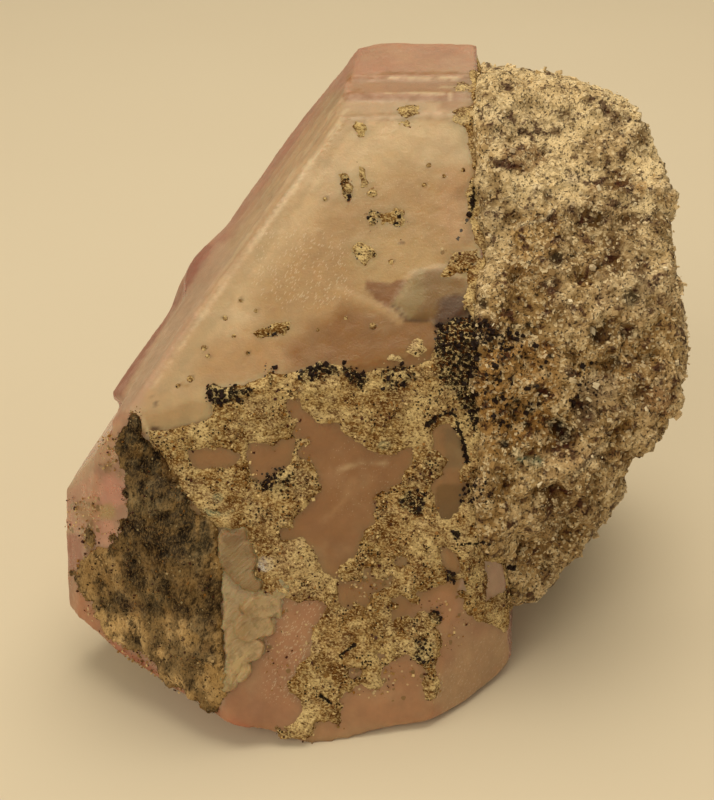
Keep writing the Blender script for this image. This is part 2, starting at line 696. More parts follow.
CRYSTAL_MARKS = marks("""
patch 352,108 470,105 474,165 430,190 380,240 330,290 270,320 215,350 160,400 200,330 270,230
  cream 34 .85;
patch 325,205 400,165 475,170 475,300 340,350 250,352 255,290 158,119,70 44 .85;
oval 350,225 440,300 172,138,88 30 .6;
oval 190,330 300,392 160,118,70 26 .7;
patch 285,345 345,305 400,318 440,296 446,350 345,372 290,372 127,82,34 22 .9;
line16 362,42 300,128 208,262 158,112,86 8 .7;
line26 338,104 286,180 212,285 138,388 168,136,96 12 .85;
patch 440,170 476,165 478,225 455,240 440,220 170,128,82 14 .8;
patch 365,281 378,283 390,282 409,277 402,290 388,311 378,302 368,292 118,72,34 3 .9;
line9 338,290 360,300 388,312 400,320 172,134,86 3 .6 .08;
patch 393,305 412,273 440,266 464,279 478,292 471,309 449,325 436,325 427,319 408,320 116,84,42
  2.5 .9 .25;
patch 393,305 412,273 425,268 425,300 408,320 136,110,64 5 .8;
patch 440,300 478,290 478,318 452,330 436,326 74,46,20 8 .8;
line2 393,306 406,320 427,320 95,66,36 1.5 .8;
line13 354,112 302,190 232,290 162,392 166,136,92 5 .7;
line2 333,112 281,190 208,292 190,162,120 2 .5;
line2 341,112 289,190 216,292 144,394 150,122,84 2 .5;
line3 347,109 295,187 222,288 150,391 198,172,128 3 .6;
line15 204,250 163,312 114,392 142,92,70 5 .9;
line20 222,252 182,318 130,404 172,136,102 5 .7;
line14 458,195 478,185 480,215 468,240 133,94,52 6 .5;
patch 350,74 478,72 476,112 350,110 152,114,80 8 .85;
patch 345,98 440,100 440,112 348,112 184,152,112 6 .7;
line9 350,78 476,77 140,94,54 3 .85;
line9 348,97 476,96 134,88,50 3 .85;
line8 345,118 474,117 150,116,76 3 .75;
line2.5 388,78 420,79 462,78 pale 2 .9 .04;
line1.4 392,81 440,81 pale 2 .6 .03;
line1.4 382,93 445,93 pale 2 .7 .03;
line1.4 430,87 470,87 pale 2 .5 .02;
line1.4 450,93 450,120 pale 2 .5 .03;
patch 140,412 160,396 222,384 262,376 262,392 214,404 212,418 165,432 146,428 178,144,96 6 .9;
line5 137,414 150,434 164,447 180,458 208,172,122 4 .9;
patch 152,422 161,429 156,433 150,430 84,52,20 2 .9;
line3 152,397 157,405 dark_brown 2 .8;
oval 180,381 190,389 tan 3 .7 .1;
oval 94,434 121,466 184,140,100 6 .8;
oval 104,461 113,471 ochre 4 .7;
oval 117,469 124,479 ochre 4 .7;
oval 96,476 128,507 192,132,102 8 .9;
oval 96,504 117,521 yellow_tan 4 .8;
oval 94,519 116,546 190,132,100 8 .9;
patch 60,490 98,470 98,530 60,532 184,128,92 8 .9;
patch 98,430 124,420 98,470 60,500 64,470 178,138,98 6 .8;
patch 58,532 84,530 84,568 60,575 152,92,66 6 .95;
patch 58,572 84,568 90,600 110,632 96,640 62,610 156,102,66 8 .9;
line30 110,655 170,700 240,735 150,84,56 10 .9;
line4 66,531 82,533 cream 3 .8;
line3 73,502 81,505 dark_brown 2 .8;
line7 92,522 86,536 88,549 ochre 3 .8;
oval 74,498 96,521 tan 6 .6;
patch 287,399 340,424 412,447 404,482 372,522 340,575 310,541 281,535 320,490 300,452 298,420
  142,98,58 10 .9;
line5 340,470 362,462 385,463 cream 5 .5;
line5 325,520 345,500 352,480 165,122,78 6 .45;
patch 248,441 293,440 285,472 262,488 248,480 clear_brown 8 .9;
patch 188,448 240,449 238,466 192,470 clear_brown 8 .9;
patch 225,600 330,598 315,660 300,735 220,720 160,111,74 12 .9;
patch 345,660 440,590 530,600 530,700 450,745 310,745 158,111,72 16 .9;
patch 425,690 470,640 520,625 515,680 450,720 172,134,90 20 .6;
oval 330,722 430,748 170,130,88 14 .5;
patch 443,430 462,430 464,470 444,470 120,92,56 5 .8;
patch 434,482 466,484 460,520 438,520 brown 5 .9;
oval 410,620 426,632 158,108,80 3 .8;""")
FACE_SPECKS = ((429, 165, 2.2), (424, 185, 1.8), (463, 170, 1.8), (444, 176, 1.6),
               (391, 262, 2.4), (402, 242, 2.6), (241, 300, 2.2), (256, 311, 1.8),
               (225, 318, 2.4), (325, 199, 1.8), (373, 326, 3.2), (204, 348, 2.6),
               (208, 356, 2.0), (248, 353, 1.6), (190, 379, 3.0), (178, 386, 2.0),
               (234, 336, 1.8), (300, 300, 1.4), (346, 318, 1.4), (318, 330, 1.6))
CRYSTAL_MARKS += [Mark(spot(x, y, radius), "brown", 1.6, 0.9) for x, y, radius in FACE_SPECKS]

FROST = rows("""
patch 262,225 345,235 352,300 290,312 248,292 1;
oval 350,130 460,260 .45;
oval 320,430 400,520 .5;
patch 262,598 325,600 312,660 300,705 262,700 1;
patch 425,690 470,640 520,625 515,680 450,720 .8;""")

# Tan specks on the bare crystal.
STAINED = rows("""
patch 96,436 124,436 128,470 100,472 .4;
patch 70,498 100,496 106,528 88,552 66,530 .5;
patch 76,560 92,545 104,552 108,600 90,610 .5;
line14 92,606 130,652 170,686 212,712 .45;
oval 150,430 215,452 .3;
line8 246,440 250,485 262,490 .4;
patch 262,598 325,600 318,640 300,705 270,690 .22;
oval 340,560 400,600 .35;
oval 395,600 470,650 .3;
oval 340,660 440,700 .25;
oval 200,400 262,425 .2;
line8 287,400 298,440 312,470 300,512 .4;
oval 388,352 440,372 .3;
oval 365,200 380,232 .3;
line10 440,250 470,262 .4;""")

# Coats without dark specks.
SMOOTH_COATS = shapes("""
oval 245,415 292,440;
oval 296,384 342,421;
oval 243,523 282,547;
oval 318,628 348,652;
oval 285,702 345,738;
oval 398,104 421,118;
oval 353,121 368,135;
oval 396,120 416,130;
oval 452,82 473,94;
oval 451,104 471,125;
oval 384,352 406,366;
oval 372,430 420,450;
oval 256,554 274,572;""")

CRUST_MARKS = marks("""
oval 258,556 272,570 250,238,208 2 1;
patch 468,574 494,571 492,598 472,600 92,56,28 6 .85;
oval 245,415 292,440 yellow_tan 14 .8;
oval 296,384 342,421 yellow_tan 14 .8;
oval 160,425 245,450 yellow_tan 14 .6;
oval 243,523 282,547 172,136,84 10 .8;
oval 205,470 255,520 ochre 20 .6;
patch 268,545 300,540 322,570 320,600 280,596 176,140,92 10 .7;
oval 318,628 348,652 172,134,80 8 .7;
patch 285,700 300,697 345,704 342,735 292,738 158,120,68 12 .8;
oval 372,500 440,560 164,124,74 20 .5;
oval 360,590 440,660 yellow_tan 20 .4;
oval 400,380 440,440 150,112,62 12 .6;
oval 340,384 400,430 142,104,58 14 .6;
oval 420,520 485,600 128,92,50 20 .6;
oval 278,466 304,482 dark_brown 6 .7;
oval 262,476 300,497 brown 10 .7;
oval 410,638 434,667 70,48,30 8 .7;
oval 436,318 484,400 dark_brown 14 .7;
oval 384,352 406,366 pale 3 .9;
oval 405,340 425,358 cream 4 .7;
oval 398,105 421,118 196,160,96 4 .9;
oval 353,122 368,135 196,160,96 4 .9;
oval 396,120 416,130 196,160,96 4 .9;
oval 452,82 473,94 204,176,128 3 .9;
oval 451,104 471,125 200,170,118 4 .9;
oval 338,172 357,200 brown 4 .8;
oval 355,161 368,191 brown 4 .8;
oval 365,189 376,200 tan 3 .8;
oval 250,321 295,339 brown 5 .7;
oval 348,240 378,271 tan 5 .6;
line5 202,508 212,513 222,514 232,510 teal 4 .65;
oval 211,492 221,502 teal 3 .5;
oval 376,440 390,450 teal 4 .45;
line4 515,450 518,458 522,461 teal 3 .7;""")

DARK_MARKS = marks("""
patch 124,428 134,420 165,458 190,502 213,526 212,572 206,602 176,600 150,604 124,580 120,545
  130,505 20,10,3 22 .9;
patch 132,418 146,440 166,455 164,464 146,458 138,440 134,458 122,442 126,428 black 5 .95;
oval 133,441 143,456 tan 3 .8;
oval 149,478 161,493 black_brown 5 .8;
oval 144,467 153,476 black_brown 4 .8;
oval 152,495 166,511 black_brown 5 .8;
oval 182,497 191,511 black_brown 4 .8;
patch 150,535 165,535 168,575 152,580 black_brown 8 .7;
patch 130,565 150,562 152,600 134,604 dark_brown 10 .7;
oval 159,544 171,556 black_brown 5 .8;
patch 198,518 208,520 210,565 198,566 black_brown 6 .8;
oval 204,591 216,603 black 3 .95;
oval 213,583 226,626 brown 5 .7;
oval 159,609 175,628 dark_brown 6 .7;
line6 197,650 203,662 210,668 black_brown 3 .9;
line3 198,511 197,524 198,536 tan 3 .8;
patch 95,606 190,614 200,700 150,665 105,645 216,172,108 14 .9;
patch 162,558 178,560 176,612 164,612 112,82,42 8 .6;
patch 70,540 128,540 126,590 90,606 174,134,80 14 .85;
patch 178,658 226,655 226,708 190,702 186,144,86 12 .85;
line12 216,512 220,560 219,600 221,650 150,114,64 8 .75;
oval 126,412 142,436 black 3 .9;""")


# Materials.

class Shading:
    """A material's nodes, added one by one."""

    def __init__(self, name):
        self.material = bpy.data.materials.new(name)
        self.material.use_nodes = True
        self.tree = self.material.node_tree
        self.surface = self.tree.nodes["Principled BSDF"]
        place = self.add("TexCoord").outputs["Object"]
        self.place = self.add("VectorMath", (place, (1000.0, 1000.0, 1000.0)),
                              operation="MULTIPLY").outputs[0]

    def add(self, kind, values=(), **settings):
        """A node with its settings, and values or links for its first or its named sockets."""
        node = self.tree.nodes.new("ShaderNode" + kind)
        for key, value in settings.items():
            setattr(node, key, value)
        for key, value in values.items() if isinstance(values, dict) else enumerate(values):
            self.put(node.inputs[key], value)
        return node

    def put(self, socket, value):
        if isinstance(value, bpy.types.NodeSocket):
            self.tree.links.new(value, socket)
        else:
            socket.default_value = value

    def math(self, operation, *values):
        return self.add("Math", values, operation=operation).outputs[0]

    def times(self, first, second):
        return self.math("MULTIPLY", first, second)

    def plus(self, first, second):
        return self.math("ADD", first, second)

    def below(self, first, second):
        return self.math("LESS_THAN", first, second)

    def value(self, name):
        return self.add("Attribute", attribute_name=name).outputs["Fac"]

    def colour(self, name):
        return self.add("Attribute", attribute_name=name).outputs["Color"]

    def stretched(self, scale, rotation):
        """Places drawn out by scale along turned axes."""
        return self.add("Mapping", {"Vector": self.place, "Rotation": rotation, "Scale": scale},
                        vector_type="TEXTURE").outputs[0]

    def noise(self, size, detail=3.0, roughness=0.55, place=None):
        return self.add("TexNoise", {"Vector": place or self.place, "Scale": 1.0 / size,
                                     "Detail": detail, "Roughness": roughness}).outputs["Fac"]

    def dots(self, size, place=None):
        """Distance to the nearest of scattered centres, and a number for each centre."""
        node = self.add("TexVoronoi", {"Vector": place or self.place, "Scale": 1.0 / size})
        number = self.add("SeparateColor", (node.outputs["Color"],)).outputs[0]
        return node.outputs["Distance"], number

    def between(self, value, low, high, out_low=0.0, out_high=1.0):
        return self.add("MapRange", (value, low, high, out_low, out_high),
                        interpolation_type="SMOOTHSTEP").outputs[0]

    def mix(self, weight, first, second, mode="MIX"):
        return self.add("Mix", {"Factor": weight, "A": first, "B": second}, data_type="RGBA",
                        blend_type=mode).outputs["Result"]

    def stain(self, tint, *rows):
        """The tint drawn towards photographed colours where their values lie between limits."""
        for colour, value, *limits in rows:
            tint = self.mix(self.between(value, *limits), tint, paint_colour(colour))
        return tint

    def black_dots(self, tint, spacing=0.44, value="black", colour="black"):
        """Specks whose share of the surface follows a value."""
        distance, number = self.dots(spacing)
        warped = self.plus(distance, self.times(self.noise(0.25, 2.0), 0.35))
        density = self.value(value)
        chosen = self.below(number, density)
        radius = self.plus(0.34, self.times(density, 0.34))
        inside = self.times(chosen, self.below(warped, radius))
        return self.mix(self.times(inside, 0.93), tint, paint_colour(colour))

    def bump(self, height, distance, strength=1.0, under=None):
        values = {"Distance": distance * MM, "Strength": strength, "Height": height}
        if under:
            values["Normal"] = under
        return self.add("Bump", values).outputs["Normal"]

    def set(self, **values):
        for key, value in values.items():
            self.put(self.surface.inputs[key.replace("_", " ")], value)


def paint_colour(colour):
    return (*own_colour(colour), 1.0)


def crystal_material():
    """Milky, striated kunzite: rough clear skin over a soft pink body."""
    shade = Shading("kunzite")
    turn = Vector(LONG_AXIS).to_track_quat("Z", "Y").to_euler()
    lines = shade.noise(0.5, 3.0, 0.6, shade.stretched((1.0, 1.0, 16.0), turn))
    striped = shade.value("striae")
    mottle = shade.noise(1.3, 5.0, 0.62)
    veil = shade.noise(5.5, 4.0, 0.55)
    fine = shade.noise(0.22, 3.0, 0.6)
    tint = shade.mix(shade.between(mottle, 0.35, 0.68, 0.0, 0.3), shade.colour("tint"),
                     (0.62, 0.62, 0.62, 1.0), "MULTIPLY")
    tint = shade.stain(tint, ("cream", veil, 0.5, 0.72, 0.0, 0.22))
    tint = shade.mix(shade.times(striped, shade.between(lines, 0.42, 0.66, 0.0, 0.07)), tint,
                     paint_colour((128, 88, 66)))
    distance, number = shade.dots(0.13, shade.stretched((1.0, 1.0, 3.2), turn))
    radius = shade.times(shade.value("frost"), shade.plus(fine, -0.05))
    sparkle = shade.times(shade.between(number, 0.72, 0.73), shade.below(distance, radius))
    tint = shade.mix(shade.times(sparkle, 0.4), tint, paint_colour((216, 190, 146)))
    tint = shade.black_dots(tint, 1.0, "stained", (134, 98, 52))
    tint = shade.black_dots(tint, 0.5, "stained", (198, 164, 110))
    tint = shade.black_dots(tint)
    normal = shade.bump(shade.times(striped, lines), 0.2, 0.6)
    normal = shade.bump(shade.plus(mottle, shade.times(fine, 0.35)), 0.14, 0.6, normal)
    shade.set(Base_Color=tint, Normal=normal, IOR=1.66, Subsurface_Weight=0.6,
              Subsurface_Scale=0.004, Subsurface_Radius=(1.0, 0.5, 0.42),
              Transmission_Weight=shade.value("clear"),
              Roughness=shade.math("MULTIPLY_ADD", shade.value("glassy"), -0.2,
                                   shade.between(mottle, 0.3, 0.7, 0.32, 0.5)))
    absorb = shade.add("VolumeAbsorption", {"Color": (0.93, 0.5, 0.5, 1.0), "Density": 55.0})
    shade.put(shade.tree.nodes["Material Output"].inputs["Volume"], absorb.outputs[0])
    return shade.material


def crust_material(name, light, dark, fibres, pale_share, dark_share):
    """Iron-stained crumbly crust: fine light and dark grains over its tint."""
    shade = Shading(name)
    drawn = shade.stretched(fibres, CRUST_TURN)
    patches = shade.noise(2.6, 3.0, 0.6)
    coarse = shade.noise(0.75, 4.0, 0.68, drawn)
    grain = shade.noise(0.19, 3.0, 0.7, drawn)
    distance, number = shade.dots(0.3)
    tint = shade.stain(
        shade.colour("tint"), (light, patches, 0.5, 0.64, 0.0, pale_share),
        (dark, patches, 0.36, 0.47, 0.6, 0.0), (dark, coarse, 0.36, 0.5, 0.75, 0.0),
        (light, coarse, 0.53, 0.66, 0.0, pale_share), (light, grain, 0.52, 0.6, 0.0, pale_share),
        (dark, grain, 0.38, 0.46, dark_share, 0.0))
    crowd = shade.between(shade.noise(2.2, 3.0, 0.6), 0.5, 0.62, 0.02, 0.5)
    crowd = shade.times(crowd, shade.value("specks"))
    speck = shade.times(shade.below(number, crowd), shade.below(distance, 0.42))
    tint = shade.mix(shade.times(speck, 0.9), tint, paint_colour("black_brown"))
    tint = shade.black_dots(tint)
    height = shade.plus(shade.times(grain, 0.6),
                        shade.times(shade.math("SUBTRACT", 1.0, distance), 0.4))
    normal = shade.bump(height, 0.25, 1.0, shade.bump(coarse, 0.35, 0.8))
    shade.set(Base_Color=tint, Normal=normal, IOR=1.5, Specular_IOR_Level=0.15,
              Roughness=shade.between(grain, 0.3, 0.7, 0.92, 0.7))
    return shade.material


def rock_material():
    """Sugary albite: small glassy facets, stained in the hollows."""
    shade = Shading("albite")
    coarse = shade.noise(1.5, 5.0, 0.65)
    grain = shade.noise(0.3, 3.0, 0.65)
    distance, number = shade.dots(0.7)
    small, small_number = shade.dots(0.3)
    tint = shade.stain(
        shade.colour("tint"), ((104, 74, 38), number, 0.1, 0.6, 0.5, 0.0),
        ((224, 192, 136), coarse, 0.52, 0.66, 0.0, 0.5),
        ((226, 196, 142), small_number, 0.76, 0.9, 0.0, 0.7),
        ((66, 38, 12), coarse, 0.36, 0.48, 0.85, 0.0),
        ((48, 26, 8), grain, 0.38, 0.46, 0.85, 0.0))
    tint = shade.black_dots(tint)
    normal = shade.bump(shade.plus(small, shade.times(grain, 0.6)), 0.16, 0.9,
                        shade.bump(distance, 0.3, 0.7))
    shade.set(Base_Color=tint, Normal=normal, IOR=1.53, Specular_IOR_Level=0.15,
              Roughness=shade.between(number, 0.0, 1.0, 0.4, 0.8))
    return shade.material


def blade_material():
    """Thin cleaved albite plates: pale, silky and partly see-through."""
    shade = Shading("albite_blade")
    fibres = shade.noise(0.2, 3.0, 0.6, shade.stretched((1.0, 1.0, 7.0), SILK_TURN))
    mottle = shade.noise(0.9, 4.0, 0.6)
    tint = shade.stain(shade.colour("tint"), ((212, 186, 142), fibres, 0.5, 0.72, 0.0, 0.3),
                       ((132, 98, 56), mottle, 0.36, 0.54, 0.45, 0.0))
    normal = shade.bump(mottle, 0.2, 0.6, shade.bump(fibres, 0.18, 0.8))
    shade.set(Base_Color=tint, Normal=normal, IOR=1.53, Subsurface_Weight=0.5,
              Subsurface_Scale=0.0015, Transmission_Weight=0.3,
              Roughness=shade.between(mottle, 0.3, 0.7, 0.3, 0.5))
    return shade.material


def grain_material():
    """Broken albite grains, each with its own tint."""
    shade = Shading("albite_grain")
    fine = shade.noise(0.2, 2.0, 0.6)
    tint = shade.stain(shade.colour("tint"), ("brown", fine, 0.3, 0.5, 0.4, 0.0))
    shade.set(Base_Color=tint, Normal=shade.bump(fine, 0.05, 0.5), IOR=1.53,
              Specular_IOR_Level=0.25, Roughness=shade.between(fine, 0.3, 0.7, 0.35, 0.6))
    return shade.material


def black_material():
    """Dull black manganese grains."""
    shade = Shading("manganese")
    fine = shade.noise(0.18, 3.0, 0.6)
    tint = shade.stain(shade.colour("tint"), ((52, 34, 22), fine, 0.35, 0.65))
    shade.set(Base_Color=tint, Normal=shade.bump(fine, 0.08, 0.8), Specular_IOR_Level=0.25,
              Roughness=shade.between(fine, 0.3, 0.7, 0.5, 0.8))
    return shade.material


# The crystal.

FACES = {
    "upper_front": direction(5, 46), "lower_front": direction(10, 20),
    "edge_bevel": direction(-34, 57), "flank": direction(-88, 44.5), "top": direction(0, 82),
    "back_left": direction(-130, 0), "back_left_low": direction(-112, 2),
    "back_middle": direction(-150, -11), "back": direction(178, -8),
    "back_low": direction(190, -34), "right": direction(84.6, 7),
    "lobe_side": direction(-60, 9), "lower_left": direction(-33.6, 5.6)}
STRIATED = {"flank": 1.0, "edge_bevel": 1.0, "back_left": 0.8, "back_left_low": 0.8,
            "back_middle": 0.8, "back": 0.8, "right": 0.6, "upper_front": 0.12, "top": 0.3}


def share_of(surface, name):
    """How far each point belongs to a named face of the crystal."""
    return ramp(surface.ground @ FACES[name], 0.955, 0.99)


def lobe_share(surface):
    """How far a point belongs to the clear pink side of the low left lobe."""
    depth = patch((112, 425), (130, 470), (128, 510), (90, 560), (72, 600), (55, 590),
                  (55, 480))(surface.pixels)
    return ramp(depth, -6.0, 10.0) * surface.shown


def striation(surface):
    total = np.zeros(len(surface.points))
    for name, weight in STRIATED.items():
        total += weight * share_of(surface, name)
    return np.minimum(total, 1.0)


def stretched_noise(points, across, along, seed):
    """Noise drawn out along the crystal's length."""
    length = points @ LONG_AXIS
    flat = points - length[:, None] * LONG_AXIS
    return smooth_noise(flat / across + (length / along)[:, None] * LONG_AXIS, 1.0, seed)


# Soft bulges of the worn crystal: pixel at their middle, reach and shift.
BULGES = (
    ((462, 690), 9.0, (0.5, -0.5, -1.7)), ((500, 664), 5.0, (-0.2, -0.3, -0.9)),
    ((415, 706), 7.0, (0.1, -0.3, -0.9)), ((118, 650), 6.0, (-0.2, -0.3, -0.7)),
    ((165, 684), 6.0, (-0.1, -0.3, -0.9)), ((222, 715), 6.0, (0.0, -0.3, -0.8)),
    ((194, 268), 6.5, (-1.5, 0.0, 0.2)))


def bulge(surface):
    for pixel, reach, shift in BULGES:
        away = np.linalg.norm(surface.pixels - pixel, axis=1)
        away += -FAR_OUTSIDE * (surface.facing < LEAST_FACING)
        middle = surface.points[np.argsort(away)[:20]].mean(axis=0)
        weight = 1.0 - ramp(np.linalg.norm(surface.points - middle, axis=1), 0.0, reach)
        surface.points = surface.points + weight[:, None] * np.array(shift)
    surface.normals = point_normals(surface.points, surface.quads)
    surface.look()


def level_grooves(surface):
    """Gives the sides of narrow grooves the direction of the face that they are cut in."""
    alike = np.max([surface.ground @ face for face in FACES.values()], axis=0)
    ground = relax(surface.ground, surface.quads, 14, (alike < 0.99)[:, None] * 1.0)
    surface.ground = ground / np.linalg.norm(ground, axis=1)[:, None]


def crystal_surface(cell, rounds):
    surface = surface_of("kunzite_crystal", cell, rounds)
    level_grooves(surface)
    bulge(surface)
    points = surface.points
    striated = striation(surface)
    height = striated * (0.16 * stretched_noise(points, 1.5, 22.0, 51)
                         + 0.10 * stretched_noise(points, 3.4, 40.0, 52))
    height += 0.10 * cloud(points, 5.0, 53) + 0.035 * cloud(points, 1.3, 54)
    etched = share_of(surface, "lower_front") + share_of(surface, "lower_left")
    height += 0.12 * etched * cloud(points, 2.6, 55)
    height += lifted(surface, CRYSTAL_MARKS)
    surface.move(height)
    surface.points = above_floor(surface.points)
    surface.look()
    return surface


def crystal_values(surface):
    """Tint, clearness, striation, frost and black of each point."""
    points = surface.points
    pink = plain("pink", len(points))
    tint = stain(pink, "deep_pink", 0.4 + 0.4 * cloud(points, 11.0, 61))
    tint = stain(tint, "unseen_pink", 0.9 * (1.0 - surface.shown))
    tint = stain(tint, (186, 150, 116), ramp(cloud(points, 6.0, 62), 0.1, 0.8) * 0.35)
    front = np.minimum(1.0, share_of(surface, "upper_front") + share_of(surface, "edge_bevel"))
    tint = stain(tint, (177, 142, 95), front)
    tint = stain(tint, "clear_brown", share_of(surface, "lower_front"))
    dirt = ramp(cloud(points, 7.0, 63), 0.25, 0.7) * (1.0 - surface.shown)
    tint = stain(tint, (158, 118, 76), dirt * 0.2)
    tint = paint(surface, tint, CRYSTAL_MARKS)
    glassy = ramp(1.0 - surface.shown + 0.35 * share_of(surface, "flank"), 0.2, 0.9)
    glassy = np.maximum(glassy, 0.45 * lobe_share(surface))
    clear = 0.14 + 0.3 * glassy + 0.1 * cloud(points, 4.0, 64)
    frost = strongest(surface, FROST, -8.0, 6.0, 0.0) * surface.shown
    stained = strongest(surface, STAINED, -4.0, 4.0, 1.0)
    stained *= surface.shown * (0.9 + 0.9 * cloud(points, 1.8, 65)).clip(0.0, 1.6)
    tint = np.clip(tint * BODY_GAIN, 0.0, 0.95)
    return {"tint": tint, "clear": np.clip(clear, 0.06, 0.6), "frost": frost, "glassy": glassy,
            "stained": stained, "striae": striation(surface), "black": black_density(surface)}


# Crusts.

def shown_depth(surface, depth):
    """Depth inside an outline in millimetres, outside on the sides that the photograph hides."""
    return np.where(surface.facing > LEAST_FACING, depth * surface.pixel_size, -1.0)


def front_rise(surface):
    """Height of the crust on the lower front."""
    inside = shown_depth(surface, crust_depth(surface) + ragged(surface))
    return crumbly(surface.points, inside, 0.38, 72)


def crumbly(points, inside, thick, seed):
    """Crumbly height of a crust from the distance inside its outline."""
    height = np.maximum(inside, -1.0)
    on = inside > 0
    spots, reach = points[on], inside[on]
    nearest, second, number, slope = cells(spots, 1.1, seed)
    lump = 0.45 + 0.35 * cloud(spots, 3.2, seed + 9) + 0.6 * (second - nearest) + 0.4 * number
    grain = 0.09 * cloud(spots, 0.7, seed + 11, 2) + 0.08 * slope
    height[on] = np.maximum(thick * lump + grain, 0.05) * ramp(reach, 0.0, 0.55)
    return height


def dark_rise(surface):
    """Height of the dark crust, with a hollow under its tip."""
    depth = DARK_CRUST_OUTLINE(surface.pixels) + 2.0 * ragged(surface)
    depth = np.maximum(depth, DARK_TIP(surface.pixels))
    height = crumbly(surface.points, shown_depth(surface, depth), 0.62, 82)
    hollow = DARK_MARKS[1].depth(surface.pixels)
    return height - 0.35 * ramp(hollow, -2.0, 3.0) * ramp(height, 0.35, 0.8)


def edge_rise(surface, rock_depth):
    """Crust along the ridge, in thin islands, and where the crystal meets the rock."""
    broken = 2.4 * smooth_noise(surface.points, 0.45, 96)
    islands = deepest(surface, FACE_ISLANDS) - 0.8 + broken
    depth = np.maximum(deepest(surface, RIDGE_CRUST), islands) + ragged(surface)
    specks = [spot(x, y, radius + 0.9) for x, y, radius in FACE_SPECKS]
    inside = shown_depth(surface, np.maximum(depth, deepest(surface, specks)))
    contact = 1.2 + rock_depth + 0.9 * cloud(surface.points, 2.4, 92)
    hidden = (cloud(surface.points, 7.5, 93) - 0.68) * 2.5 + 0.2 * cloud(surface.points, 1.6, 94)
    hidden = np.where((surface.facing < -0.02) & (surface.points[:, 2] > 1.0), hidden, -1.0)
    inside = np.maximum(inside, np.maximum(contact, hidden))
    inside = np.where(rock_depth > 1.2, -1.0, inside)
    return crumbly(surface.points, inside, 0.3, 95)


def crust_values(top, height, base, marks, seed):
    """Tint and black of a crust: paler where it stands high, darker in its hollows."""
    points = top.points
    richness = 0.75 if base == "tan" else 0.3
    tint = stains(plain(base, len(points)),
                  ("yellow_tan", richness, cloud(points, 3.5, seed), 0.0, 0.6),
                  ("ochre", 0.8, cloud(points, 2.4, seed + 1), 0.1, 0.6))
    zone = cloud(points * (0.6, 1.0, 1.0), 3.6, seed + 8)
    tint = stains(paint(top, tint, marks), ((206, 172, 112), 0.7 * richness, zone, 0.15, 0.6),
                  ((116, 78, 36), 0.75 * richness, -zone, 0.15, 0.6),
                  ((206, 174, 118), 0.6 * richness, cloud(points, 1.5, seed + 3), 0.1, 0.55),
                  ((112, 72, 30), 0.7 * richness, cloud(points, 1.0, seed + 4), 0.25, 0.7),
                  ("cream", 0.4 * richness, height, 0.25, 0.6),
                  ("brown", 0.5, -height, -0.12, 0.05))
    if base != "tan":
        upright = smooth_noise(points / (1.0, 1.0, 4.0), 1.0, seed + 7)
        cloudy = cloud(points, 4.0, seed + 6) + 0.5 * upright
        tint = stains(tint, ("black_brown", 0.65, cloudy, 0.0, 0.6),
                      ((172, 132, 76), 0.45, -cloudy, 0.3, 0.8))
    hidden = 0.25 * ramp(cloud(points, 4.0, seed + 2), 0.2, 0.8) * (1.0 - top.shown)
    black = np.maximum(black_density(top), hidden)
    tint = stains(tint, ("black_brown", 0.95, black + 0.35 * cloud(points, 0.8, seed + 5),
                         0.35, 0.75))
    specks = np.full(len(points), 1.0 if base == "tan" else 0.3)
    for shape in SMOOTH_COATS:
        specks = np.minimum(specks, 1.0 - ramp(shape(top.pixels), -3.0, 4.0) * top.shown)
    return {"tint": twice(tint), "black": twice(black), "specks": twice(specks)}


def add_grains(name, corners, faces, material, tint):
    """Grains as one piece, each grain with its own tint."""
    add_piece(name, above_floor(corners), faces, material,
              {"tint": np.repeat(tint, len(GRAIN_CORNERS), axis=0)}, smooth=False)


def add_crumbs(name, host, height, chance, tint, count, seed, pale=0.8, largest=0.2):
    """Loose crumbs on a crust: pale, rusty and dark ones over its own tint."""
    top = Surface(host.points + host.normals * np.maximum(height, 0.0)[:, None],
                  host.quads[:1], host.normals, host.ground)
    chance = chance * (0.7 + 1.5 * cloud(top.points, 2.2, seed)).clip(0.04, 2.0)
    corners, faces, picked, random = grains(top, chance, count, (0.04, largest), 1.3, seed)
    number = random.random(count)
    tint = stain(tint[picked], (226, 192, 126), pale * ramp(number, 0.62, 0.95))
    rusty = 0.7 * ramp(number, 0.3, 0.4) * (number < 0.5)
    tint = stain(tint, (150, 98, 42), rusty)
    tint = stain(tint, (66, 38, 14), 1.0 - ramp(number, 0.12, 0.25))
    add_grains(name, corners, faces, grain_material(), tint)


BLADES = rows("""
patch 216,545 220,528 245,526 250,540 260,556 257,572 264,584 255,593 240,590 228,575 220,565 .7
  .012 -.004;
oval 250,572 290,602 .5 0 .01;
oval 234,592 287,620 .85 -.012 .006;
oval 228,606 276,642 .7 -.006 .004;
oval 224,630 266,664 .62 .012 0;
oval 221,652 252,682 .5 .012 0;
oval 220,668 238,692 .4 0 0;
patch 222,560 240,585 262,590 256,640 230,688 222,640 .3 0 .004;""")
BLADE_MARKS = marks("""
patch 222,528 243,528 246,538 240,543 228,545 221,540 138,102,60 5 .85;
oval 259,558 272,569 240,226,190 3 1;
oval 228,590 252,640 162,126,76 12 .5;
patch 218,540 262,545 266,590 240,592 222,575 154,121,74 5 .85;
oval 236,556 256,580 176,142,92 8 .5;
oval 250,595 285,618 204,170,116 8 .7;
oval 230,650 252,685 212,176,114 8 .7;""")


